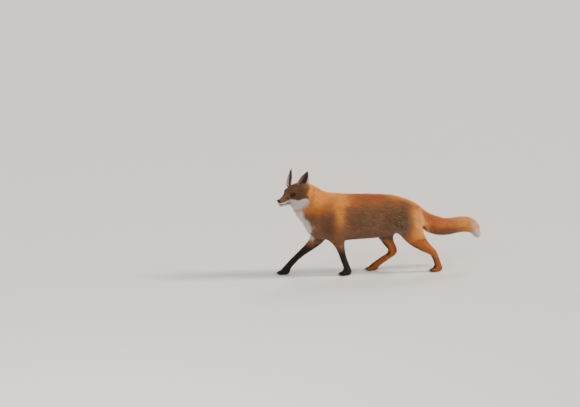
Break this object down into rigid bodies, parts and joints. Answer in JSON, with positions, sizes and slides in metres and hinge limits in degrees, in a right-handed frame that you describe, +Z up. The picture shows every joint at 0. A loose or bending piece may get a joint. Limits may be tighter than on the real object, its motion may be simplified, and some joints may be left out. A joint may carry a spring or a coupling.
{
  "type": "red fox, walking, life-size still model",
  "caption": "Life-size red fox in winter coat, walking with its head turned a little to its left and its bushy tail held low.",
  "frame": {"origin": "on the floor, under the middle of the bounding box", "axes": "-X is the way the fox walks, -Y is its left side, +Z is up"},
  "size_m": [0.9938, 0.185, 0.5083],
  "materials": {
    "coat": "long dense fur, golden to rusty orange with grey-brown flanks",
    "socks": "short fur, dark brown to black",
    "pale": "soft fur, white to cream",
    "leather": "damp black nose leather",
    "eye": "clear and wet over an amber iris"
  },
  "bodies": {
    "root": {"trunk": "coat", "neck": "coat", "head": "coat", "jaw": "pale", "nose": "leather", "eye_left": "eye", "eye_right": "eye", "ear_left": "socks", "ear_right": "socks", "tail": "coat", "tail_tip": "pale", "foreleg_left": "socks", "foreleg_right": "socks", "forepaw_left": "socks", "forepaw_right": "socks", "hindleg_left": "coat", "hindleg_right": "coat", "hindpaw_left": "socks", "hindpaw_right": "socks"}
  },
  "joints": []
}
